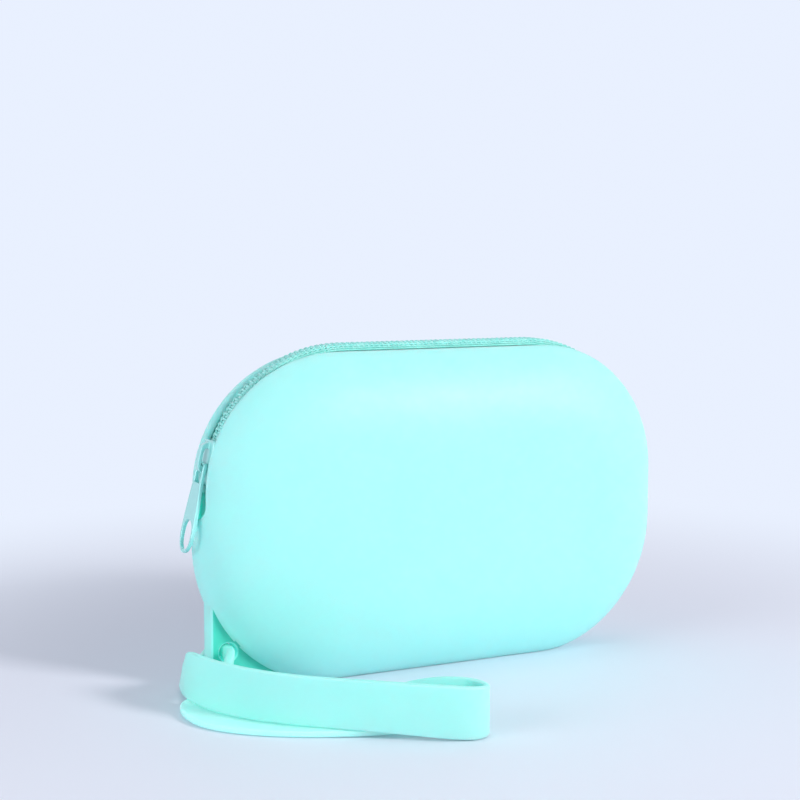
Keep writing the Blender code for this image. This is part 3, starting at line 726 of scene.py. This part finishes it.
def makeTape(name, node, side):
    stations = chainSteps(-tape["endDrop"], chainLong + tape["endDrop"], 1.2)
    rings = []
    for along in stations:
        loop = thickened(tapeLine(along), chain["tapeThick"])
        rings.append([chainPoint(along, side * y, inset) for y, inset in loop])
    made = loftObject(name, rings)
    cloth = made.data.attributes.new("cloth", "FLOAT_VECTOR", "POINT")
    loop = thickened(tapeLine(0.0), chain["tapeThick"])
    across = np.concatenate([[0.0], np.cumsum(np.hypot(*np.diff(loop, axis=0).T))])
    values = [(s, a, 0.0) for s in stations for a in across]
    cloth.data.foreach_set("vector", np.array(values, np.float32).ravel())
    # the shut ends of the tape, deep in the slot, are marked "recess" for a painted glow
    ends = [min(1.0, beyondStops(s) / tape["shutOver"]) for s in stations]
    setMask(made, "recess", np.repeat(ends, len(loop)))
    finishPiece(made, tapeFinish, 50.0, weighted=False)
    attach(made, "pouch")
    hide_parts(node)


makeTape("tape_front", "zip_tape_front", -1)
makeTape("tape_rear", "zip_tape_rear", 1)
report("tapes made")


# zip coils

coil = {
    "wire": 0.4,
    "drop": 0.04,
    "sideTurns": 7,
    "ahead": 0.6,
    "slack": 0.05,
    # y, inset, radius and dip between the turns of each row of thread
    "threadRows": ((1.65, 1.88, 0.2, 0.3), (2.15, 1.88, 0.2, 0.3), (2.58, 2.3, 0.27, 0.18),
                   (2.6, 2.88, 0.28, 0.14), (2.54, 3.46, 0.32, 0.05)),
    "threadSteps": 6,
    "threadSides": 6,
    "sway": 0.15,
}
sliderAt = chainRadius * math.radians(chain["sliderAngle"])
travelArc = chainRadius * math.radians(chain["sliderTravel"])
stopStart = sliderAt - chain["sliderHalf"] - chain["stopGap"] - chain["stopLong"]
coilStart = stopStart + chain["stopLong"] + chain["endGap"]
coilEnd = chainLong + chain["bottomStart"] - chain["endGap"]


def coilLoop(inner):
    # one turn of the wire: its head, over the top leg and back along the lower leg, as y, inset and
    # share of the pitch ahead
    wire = coil["wire"]
    top = chain["coilTop"] + coil["drop"] + wire
    low = chain["coilBottom"] - wire
    bend = (low - top) / 2
    head, back = inner + wire + bend, chain["coilHalf"] - wire - bend
    middle, quarters = (top + low) / 2, np.linspace(0, math.pi, 5)
    turn = [(head - bend * math.sin(a), middle + bend * math.cos(a), 0.0) for a in quarters]
    turn.append(((head + back) / 2, top, 0.04))
    for step, a in enumerate(quarters):
        turn.append((back + bend * math.sin(a), middle - bend * math.cos(a), 0.1 + 0.1 * step))
    turn.append(((head + back) / 2, low, 0.78))
    return turn


def openWithSlider(made):
    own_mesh(made)


def makeCoilRun(name, node, side, turns, start, inner, travel):
    path = []
    loop = coilLoop(inner)
    for k in turns:
        for y, inset, ahead in loop:
            path.append(chainPoint(start + chain["pitch"] * (k + ahead), side * y, inset))
    made = tubeAlong(name, path, coil["wire"], coil["sideTurns"])
    finishPiece(made, coilLook)
    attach(made, "pouch")
    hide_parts(node)
    if travel:
        openWithSlider(made)


def makeThreads(name, side, low, high, start, travel):
    rows = []
    marks = np.linspace(low, high, int((high - low) / chain["pitch"] * coil["threadSteps"]) + 1)
    for row, (y, depth, radius, dip) in enumerate(coil["threadRows"]):
        path = []
        for s in marks:
            phase = 2 * math.pi * (s - start) / chain["pitch"]
            sway = coil["sway"] * radius * math.sin(phase / 2 + row)
            inset = depth + dip * (0.5 - 0.5 * math.cos(phase))
            path.append(chainPoint(s, side * (y + sway), inset))
        rows.append(tubeAlong(name, path, radius, coil["threadSides"]))
    made = joined(name, rows)
    finishPiece(made, threadLook)
    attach(made, "pouch")
    if travel:
        openWithSlider(made)


def makeCoils():
    pitch = chain["pitch"]
    for label, node, side, shift in (("front", "coil_front", -1, 0.0), ("rear", "coil_rear", 1, pitch / 2)):
        start = coilStart + coil["wire"] + shift
        count = int((coilEnd - start - coil["wire"]) / pitch)
        openTo = max(1, math.floor((sliderAt - coil["ahead"] - start) / pitch) + 1)
        travelTo = math.floor((sliderAt - coil["ahead"] + travelArc - start) / pitch) + 1
        runs = (
            ("open", range(0, openTo), chain["valley"] - coil["slack"], False),
            ("travel", range(openTo, travelTo), -chain["reach"], True),
            ("closed", range(travelTo, count), -chain["reach"], False),
        )
        for part, turns, inner, travel in runs:
            makeCoilRun(f"coil_{label}_{part}", node, side, turns, start, inner, travel)
            low, high = start + pitch * turns[0], start + pitch * (turns[-1] + 0.9)
            makeThreads(f"thread_{label}_{part}", side, low, high, start, travel)


makeCoils()
report("coils and sewing threads made")


# stops

def softSolid(obj, voxel, rounds):
    # grows the joined solids into one cast piece with softened edges, in millimetres
    step = obj.modifiers.new("grow", "REMESH")
    step.mode = "VOXEL"
    step.voxel_size = voxel
    step.use_smooth_shade = True
    ease = obj.modifiers.new("ease", "SMOOTH")
    ease.factor = 0.5
    ease.iterations = rounds
    bakeModifiers(obj)


stops = {
    "bottomLong": 3.0,
    "footAt": 0.2,
    "crownAt": 0.7,
    "shoulderAt": 2.5,
    "sideAt": 3.1,
    "jawAt": 1.2,
    "tailAt": 2.6,
    "thick": 0.5,
    "bevel": 0.4,
    "under": 0.15,
    "voxel": 0.07,
    "ease": 5,
}


def makeStop(name, node, loop, start, length):
    marks = np.linspace(start, start + length, 5)
    made = loftObject(name, [[chainPoint(s, y, inset) for y, inset in loop] for s in marks])
    softSolid(made, stops["voxel"], stops["ease"])
    finishPiece(made, stopFinish, 80.0, weighted=False)
    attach(made, "pouch")
    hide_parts(node)


def makeStops():
    # each stop is folded round the tape: over it, round its side and under it
    top, low, thick = chain["coilTop"], chain["coilBottom"], stops["thick"]
    under = chain["tapeTop"] + chain["tapeThick"] + stops["under"]
    half = [(stops["shoulderAt"], top), (stops["sideAt"], top + thick), (stops["sideAt"], low),
            (stops["jawAt"], low), (stops["jawAt"], under), (stops["tailAt"], under),
            (stops["tailAt"], under + thick)]
    single = [(stops["footAt"], top + stops["bevel"]), (stops["crownAt"], top)]
    single += half + [(stops["footAt"], under + thick)]
    for name, node, side in (("stop_front", "top_stop_front", -1), ("stop_rear", "top_stop_rear", 1)):
        loop = [(side * y, inset) for y, inset in single]
        makeStop(name, node, loop, stopStart, chain["stopLong"])
    double = half + mirrored(half)
    makeStop("stop_bottom", "bottom_stop", double, chainLong + chain["bottomStart"], stops["bottomLong"])


makeStops()
report("stops made")


# slider

slider = {
    "frontHalf": 3.75,
    "tailHalf": 3.7,
    "plate": 0.75,
    "plateIn": 1.5,
    "flange": 0.65,
    "lowerInset": 5.0,
    "lowerHalf": 3.3,
    "bridgeHalf": 1.1,
    "bridgeFoot": -3.2,
    "bridgeEnd": 5.2,
    "windowFoot": -1.25,
    "windowEnd": 3.5,
    "windowHigh": 1.2,
    "bridgeThick": 0.85,
    "drop": 0.55,
    "leastWall": 0.35,
    # along the slider: place, set-back from the half width and share of the drop at the ends
    "stations": ((-5.8, 0.3, 1.0), (-5.5, 0.12, 0.85), (-4.9, 0.0, 0.6), (-3.4, 0.0, 0.2), (-2.0, 0.0, 0.0),
                 (0.0, 0.1, 0.0), (5.0, 0.0, 0.0), (5.55, 0.08, 0.2), (5.8, 0.24, 0.5)),
    # set-back and depth of the rounded shoulder between side and top
    "shoulder": ((0.0, 0.5), (0.2, 0.22), (0.6, 0.05), (1.2, 0.0)),
    # along the lower plate: place, set-back and bevel
    "lowerStations": ((-5.4, 0.5, 0.25), (-4.4, 0.0, 0.0), (4.4, 0.3, 0.0), (5.4, 0.8, 0.25)),
    # one side of the wedge that parts the coils, seen from above
    "wedgeSide": ((-1.0, 0.15), (-3.8, 1.15), (-5.2, 0.6)),
    "voxel": 0.085,
    "ease": 5,
}
plateOut = slider["plateIn"] - slider["plate"]


def frameOf(first, second, third, place):
    return Matrix.Translation(place) @ Matrix((first, second, third)).transposed().to_4x4()


def sliderMatrix():
    # local x runs along the chain, y across it and z outwards
    turn = math.radians(chain["sliderAngle"])
    out = Vector((-math.cos(turn), 0, math.sin(turn)))
    along = Vector((math.sin(turn), 0, math.cos(turn)))
    base = Vector((-chainX, 0, chainZ)) + out * chainPath[2]
    return frameOf(along, Vector((0, 1, 0)), out, base)


def makeSlider():
    plate, low = slider["plate"], slider["lowerInset"]
    flangeEnd = chain["tapeTop"] - 0.3
    rings = []
    for u, back, share in slider["stations"]:
        widest = slider["tailHalf"] if u > 0 else slider["frontHalf"]
        half, crown = widest - back, plateOut + share * slider["drop"] * plate
        inner = min(widest - slider["flange"], half - slider["leastWall"])
        side = [(half, flangeEnd)] + [(half - y, crown + deep) for y, deep in slider["shoulder"]]
        inside = [(-inner, flangeEnd), (-inner, slider["plateIn"])]
        rings.append([(u, y, -i) for y, i in side + mirrored(side) + inside + mirrored(inside)])
    parts = [loftObject("slider_cast", rings)]

    rings = []
    for u, back, bevel in slider["lowerStations"]:
        half, under = slider["lowerHalf"] - back, low + plate
        loop = ((half, low), (-half, low), (bevel - half, under), (half - bevel, under))
        rings.append([(u, y, -i) for y, i in loop])
    parts.append(loftObject("slider_lower", rings))

    side = slider["wedgeSide"]
    plan = [(u, -y) for u, y in reversed(side)] + list(side)
    rings = [[(u, y, -i) for u, y in plan] for i in (plateOut + plate / 2, low + plate / 2)]
    parts.append(loftObject("slider_wedge", rings))

    rise = plateOut - slider["windowHigh"]
    top = rise - slider["bridgeThick"]
    sunk = plateOut + plate / 2
    foot, end = slider["bridgeFoot"], slider["bridgeEnd"]
    windowFoot, windowEnd = slider["windowFoot"], slider["windowEnd"]
    arch = [
        (foot, sunk), (foot, plateOut - 0.7), (foot + 0.25, rise + 0.35), (foot + 0.7, rise - 0.25),
        (foot + 1.5, top + 0.12), (foot + 2.6, top), (end - 2.3, top), (end - 1.2, top + 0.2),
        (end - 0.4, rise + 0.2), (end, plateOut - 0.3), (end, sunk),
        (windowEnd, sunk), (windowEnd, plateOut - 0.7), (windowEnd - 0.5, rise + 0.15),
        (windowEnd - 1.3, rise), (windowFoot + 0.35, rise), (windowFoot, rise + 0.35), (windowFoot, sunk),
    ]
    half = slider["bridgeHalf"]
    parts.append(loftObject("slider_bridge", [[(u, y, -i) for u, i in arch] for y in (-half, 0.0, half)]))

    made = joined("slider_cast", parts)
    softSolid(made, slider["voxel"], slider["ease"])
    finishPiece(made, castFinish, 80.0, weighted=False, place=sliderMatrix())
    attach(made, "slider")
    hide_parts("slider_body")


makeSlider()
report("slider made")


# pull tab

pull = {
    "tilt": 13.0,
    "long": 23.6,
    "thick": 1.0,
    "headHalf": 3.1,
    "wideHalf": 4.5,
    "wall": 1.0,
    "headHoleEnd": 5.0,
    "headHoleRound": 0.5,
    "gripMid": 18.8,
    "gripLong": 7.7,
    "gripWide": 6.8,
    "gripSquare": 2.4,
    "endLong": 5.6,
    "edge": 0.24,
    "barShare": 0.42,
    "barGap": 0.15,
}
barRadius = pull["barShare"] * pull["thick"]
barAlong = slider["windowFoot"] + pull["barGap"] + barRadius
barInset = plateOut - slider["windowHigh"] / 2


def pullMatrix():
    # local x runs across, y down the tab and z outwards
    pivot = sliderMatrix() @ Vector((barAlong, 0, -barInset))
    tilt = math.radians(pull["tilt"])
    down = Vector((-math.sin(tilt), 0, -math.cos(tilt)))
    out = Vector((-math.cos(tilt), 0, math.sin(tilt)))
    return frameOf(Vector((0, 1, 0)), down, out, pivot)


def plateRings(contour, levels):
    plan = np.asarray(contour, float)
    ahead = np.roll(plan, -1, 0) - np.roll(plan, 1, 0)
    ahead /= np.linalg.norm(ahead, axis=1)[:, None]
    normal = np.column_stack([ahead[:, 1], -ahead[:, 0]])
    if np.sum(normal * (plan - plan.mean(0))) < 0:
        normal = -normal
    return [[(w, v, height) for w, v in plan + normal * offset] for height, offset in levels]


def pullContour():
    # straight beside the head's hole, then a curve out to the widest place and a rounded end
    widest = pull["long"] - pull["endLong"]
    right = [(pull["headHalf"], along) for along in (0.0, 1.2, 2.5, 3.8, pull["headHoleEnd"])]
    for share in np.linspace(0.06, 1.0, 16):
        ease = 1 - (1 - share) ** 1.6
        along = pull["headHoleEnd"] + (widest - pull["headHoleEnd"]) * share
        right.append((pull["headHalf"] + (pull["wideHalf"] - pull["headHalf"]) * ease, along))
    for turn in np.linspace(0, math.pi / 2, 25)[1:]:
        right.append((pull["wideHalf"] * math.cos(turn), widest + (pull["long"] - widest) * math.sin(turn)))
    return right + mirrored(right[:-1])


def makePull():
    half, edge, past = pull["thick"] / 2, pull["edge"], 0.4
    levels = roundLevels(half, edge, 4)
    made = loftObject("pull_plate", plateRings(pullContour(), [(z, -back) for z, back in levels]))
    flare = [(-half - past, edge + past)] + levels + [(half + past, edge + past)]
    wall, turnR = pull["headHalf"] - pull["wall"], pull["headHoleRound"]
    head = [(wall, -2.5), (wall, 0.0), (wall, 2.0)]
    for turn in np.linspace(0, math.pi / 2, 7):
        head.append((wall - turnR * (1 - math.cos(turn)), pull["headHoleEnd"] - turnR * (1 - math.sin(turn))))
    grip, square = [], pull["gripSquare"]
    for turn in np.linspace(0, 2 * math.pi, 56, endpoint=False):
        swell = (abs(math.cos(turn)) ** square + abs(math.sin(turn)) ** square) ** (-1 / square)
        grip.append((pull["gripWide"] / 2 * swell * math.cos(turn),
                     pull["gripMid"] + pull["gripLong"] / 2 * swell * math.sin(turn)))
    turns, barEnd = np.linspace(0, 2 * math.pi, 28, endpoint=False) + 0.13, pull["headHalf"] - 0.2
    bar = [[(w, barRadius * math.cos(t), barRadius * math.sin(t)) for t in turns] for w in (-barEnd, barEnd)]
    bakeModifiers(made, [
        cutBy(made, loftObject("head_cutter", plateRings(head + mirrored(head), flare)), "DIFFERENCE"),
        cutBy(made, loftObject("grip_cutter", plateRings(grip, flare)), "DIFFERENCE"),
        cutBy(made, loftObject("bar", bar), "UNION"),
    ])
    finishPiece(made, castFinish, 30.0, place=pullMatrix())
    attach(made, "pull")
    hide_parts("pull_tab")


makePull()
report("pull tab made")


# wrist strap

strap = {
    "reach": 65.0,
    "wide": 13.0,
    "thick": 1.6,
    "neckWide": 3.6,
    "neckThick": 2.6,
    "soft": 0.3,
    "steps": 12,
    "rows": (
        # shares of the reach: x from the hole, y beyond the fin's face, lift of the lower edge; then lean in
        # degrees, share of the full width, of the neck and of the hole's height
        (0.0, 0.0, 0.0, 0, 0.0, 1.0, 1.0),
        (-0.0015, 0.0262, 0.0, 0, 0.08, 0.9, 0.96),
        (-0.0369, 0.06, 0.055, -8, 0.12, 0.5, 0.0),
        (-0.0985, 0.0523, 0.01, -10, 0.12, 0.2, 0.0),
        (-0.152, 0.0077, 0.01, -12, 0.2, 0.0, 0.0),
        (-0.192, -0.0369, 0.025, -8, 0.58, 0.0, 0.0),
        (-0.207, -0.1262, 0.033, -6, 0.85, 0.0, 0.0),
        (-0.199, -0.2431, 0.033, -2, 0.95, 0.0, 0.0),
        (-0.156, -0.3785, 0.033, 0, 0.97, 0.0, 0.0),
        (-0.06, -0.5277, 0.033, 0, 0.94, 0.0, 0.0),
        (0.0754, -0.6731, 0.033, 2, 0.93, 0.0, 0.0),
        (0.2215, -0.7973, 0.031, 4, 0.95, 0.0, 0.0),
        (0.3723, -0.9, 0.02, 7, 1.0, 0.0, 0.0),
        (0.4985, -0.9708, 0.008, 8, 1.04, 0.0, 0.0),
        (0.5938, -0.9985, 0.0031, 5, 1.0, 0.0, 0.0),
        (0.6554, -0.96, 0.0031, 0, 0.94, 0.0, 0.0),
        (0.6215, -0.8923, 0.0031, 6, 0.98, 0.0, 0.0),
        (0.52, -0.8385, 0.0031, 22, 1.02, 0.0, 0.0),
        (0.3815, -0.7677, 0.0031, 46, 1.0, 0.0, 0.0),
        (0.23, -0.69, 0.0031, 74, 0.98, 0.0, 0.0),
        (0.075, -0.61, 0.0031, 88, 0.98, 0.0, 0.0),
        (-0.0615, -0.52, 0.0031, 90, 0.96, 0.0, 0.0),
        (-0.157, -0.415, 0.0031, 90, 0.94, 0.0, 0.0),
        (-0.187, -0.305, 0.0031, 90, 0.93, 0.0, 0.0),
        (-0.172, -0.2, 0.005, 86, 0.84, 0.0, 0.0),
        (-0.085, -0.135, 0.03, 40, 0.42, 0.3, 0.0),
        (-0.0138, -0.0523, 0.0, 8, 0.08, 0.9, 0.93),
    ),
}


def closedSpline(rows, steps):
    rows = np.asarray(rows, float)
    out = []
    for i in range(len(rows)):
        a, b, c, d = rows[i - 1], rows[i], rows[(i + 1) % len(rows)], rows[(i + 2) % len(rows)]
        for t in np.arange(steps) / steps:
            out.append(0.5 * (2 * b + (c - a) * t + (2 * a - 5 * b + 4 * c - d) * t ** 2
                              + (3 * b - a - 3 * c + d) * t ** 3))
    return np.array(out)


def strapTable():
    rows = []
    for xShare, yShare, liftShare, lean, wide, neck, hole in strap["rows"]:
        dx, dy, lift = (share * strap["reach"] for share in (xShare, yShare, liftShare))
        y = dy if abs(yShare) < 0.006 else dy + math.copysign(shell["finThick"] / 2, dy)
        width = strap["neckWide"] + (strap["wide"] - strap["neckWide"]) * wide
        thick = strap["thick"] + (strap["neckThick"] - strap["thick"]) * neck
        turn = math.radians(abs(lean))
        low = lift + width / 2 * math.cos(turn) + thick / 2 * math.sin(turn)
        rows.append((shell["holeX"] + dx, y, hole * shell["holeZ"] + (1 - hole) * low, lean, width, thick))
    return closedSpline(rows, strap["steps"])


def makeStrap():
    table = strapTable()
    path = table[:, :3]
    ahead = np.roll(path, -1, 0) - np.roll(path, 1, 0)
    ahead /= np.linalg.norm(ahead, axis=1)[:, None]
    side = np.cross(ahead, (0.0, 0.0, 1.0))
    side /= np.linalg.norm(side, axis=1)[:, None]
    upright = np.cross(side, ahead)
    lean = np.radians(table[:, 3])[:, None]
    up = np.cos(lean) * upright + np.sin(lean) * side
    flat = np.cross(ahead, up)
    rings = []
    for centre, alongW, alongT, width, thick in zip(path, up, flat, table[:, 4], table[:, 5]):
        soft = strap["soft"] * thick
        a, b = width / 2 - soft, thick / 2 - soft
        loop = []
        for corner, (cw, ct) in enumerate(((a, b), (a, -b), (-a, -b), (-a, b))):
            for turn in (0, 30, 60, 90):
                angle = math.radians(90 - 90 * corner - turn)
                loop.append((cw + soft * math.cos(angle), ct + soft * math.sin(angle)))
        rings.append([tuple(centre + alongW * w + alongT * t) for w, t in loop])
    made = loftObject("strap_band", rings, closedAlong=True)
    # the flat leg is lit through the leg that stands on it
    lit = np.clip((table[:, 3] - 60.0) / 25.0, 0.0, 1.0)
    setMask(made, "recess", np.repeat(lit, len(rings[0])))
    finishPiece(made, strapLook, 60.0)
    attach(made, "strap")
    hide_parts("wrist_strap")


makeStrap()
report("wrist strap made")


# floor, light and camera

studio = {
    "floor": (0.80, 0.82, 0.935),
    "backdrop": (0.815, 0.875, 1.0),
    "ambient": (0.84, 0.88, 0.97),
    "ambientPower": 0.33,
    "fade": (0.08, 0.3),
    "aim": (0.0, 0.0, 0.04),
    "key": {"at": (0.55, -0.85, 0.50), "size": 0.25, "power": 9.3, "colour": (1.0, 0.98, 0.95)},
    "front": {"at": (-0.40, -0.87, 0.13), "size": 0.35, "power": 0.9, "colour": (1.0, 0.99, 0.96)},
    "fill": {"at": (-0.95, -0.22, 0.26), "size": 0.6, "power": 4.3, "colour": (1.0, 0.985, 0.97)},
    "top": {"at": (0.0, 0.35, 0.95), "size": 0.9, "power": 2.0, "colour": (0.98, 0.98, 1.0)},
}


def seenRays(tree):
    light = placeNode(tree, "ShaderNodeLightPath")
    seen = mathNode(tree, "ADD", light.outputs["Is Camera Ray"], light.outputs["Is Glossy Ray"])
    return mathNode(tree, "ADD", seen, light.outputs["Is Transmission Ray"], clamp=True)


def mixInto(tree, share, first, second, out):
    shaders = {"Fac": share, 1: first.outputs[0], 2: second.outputs[0]}
    setInputs(out, {"Surface": placeNode(tree, "ShaderNodeMixShader", shaders).outputs[0]})


def makeFloor():
    # rings that grow with the distance, and a surface that fades into the backdrop there
    steps, around = (0.0, 0.1, 0.2, 0.35, 0.6, 1.0, 1.8, 3.2, 6.0), 64
    turns = np.linspace(0, 2 * math.pi, around, endpoint=False)
    points = [(0.0, 0.0, 0.0)]
    for radius in steps[1:]:
        points += [(radius * math.cos(t), radius * math.sin(t), 0.0) for t in turns]
    faces = [(0, 1 + j, 1 + (j + 1) % around) for j in range(around)]
    for i in range(len(steps) - 2):
        a, b = 1 + i * around, 1 + (i + 1) * around
        faces += [(a + j, b + j, b + (j + 1) % around, a + (j + 1) % around) for j in range(around)]
    made = newObject("studio_floor", newMesh("studio_floor", points, faces))
    look, tree, shader = newLook("studio floor")
    setInputs(shader, {"Base Color": (*studio["floor"], 1.0), "Roughness": 0.55, "Specular IOR Level": 0.3})
    spot = placeNode(tree, "ShaderNodeNewGeometry").outputs["Position"]
    far = placeNode(tree, "ShaderNodeVectorMath", {0: spot}, operation="LENGTH")
    fade = rangeNode(tree, far.outputs["Value"], *studio["fade"], interpolation_type="SMOOTHSTEP")
    glow = placeNode(tree, "ShaderNodeEmission", {"Color": (*studio["backdrop"], 1.0)})
    share = mathNode(tree, "MULTIPLY", fade, seenRays(tree))
    mixInto(tree, share, shader, glow, tree.nodes["Material Output"])
    made.data.materials.append(look)


def makeWorld():
    world = bpy.data.worlds.new("studio")
    bpy.context.scene.world = world
    world.use_nodes = True
    tree = world.node_tree
    tree.nodes.clear()
    ambient = {"Color": (*studio["ambient"], 1.0), "Strength": studio["ambientPower"]}
    lit = placeNode(tree, "ShaderNodeBackground", ambient)
    seen = placeNode(tree, "ShaderNodeBackground", {"Color": (*studio["backdrop"], 1.0)})
    mixInto(tree, seenRays(tree), lit, seen, placeNode(tree, "ShaderNodeOutputWorld"))


def placeFacing(name, data, place, direction):
    made = newObject(name, data)
    made.location = place
    made.rotation_mode = "QUATERNION"
    made.rotation_quaternion = direction.to_track_quat("-Z", "Y")
    return made


def makeLamp(name, facts):
    data = bpy.data.lights.new(name, "AREA")
    data.shape = "SQUARE"
    data.size = facts["size"]
    data.energy = facts["power"]
    data.color = facts["colour"]
    placeFacing(name, data, facts["at"], Vector(studio["aim"]) - Vector(facts["at"]))


# the photograph's angle: low, from the left of the front; angles in radians, focal length in pixels
view = {"yaw": 0.454, "pitch": 0.0999, "distance": 0.42764, "aim": (-0.01027, 0.0, 0.07437),
        "focal": 1555.8, "picture": 800, "sensor": 36.0}


def makeCamera():
    yaw, level = view["yaw"], math.cos(view["pitch"])
    back = Vector((-math.sin(yaw) * level, -math.cos(yaw) * level, math.sin(view["pitch"])))
    data = bpy.data.cameras.new("camera")
    data.sensor_width = view["sensor"]
    data.lens = view["focal"] * view["sensor"] / view["picture"]
    data.clip_start, data.clip_end = 0.02, 50.0
    place = Vector(view["aim"]) + back * view["distance"]
    bpy.context.scene.camera = placeFacing("camera", data, place, -back)


makeFloor()
makeWorld()
for lampName in ("key", "front", "fill", "top"):
    makeLamp(lampName, studio[lampName])
makeCamera()
bpy.context.scene.view_settings.view_transform = "Standard"
report("studio ready")
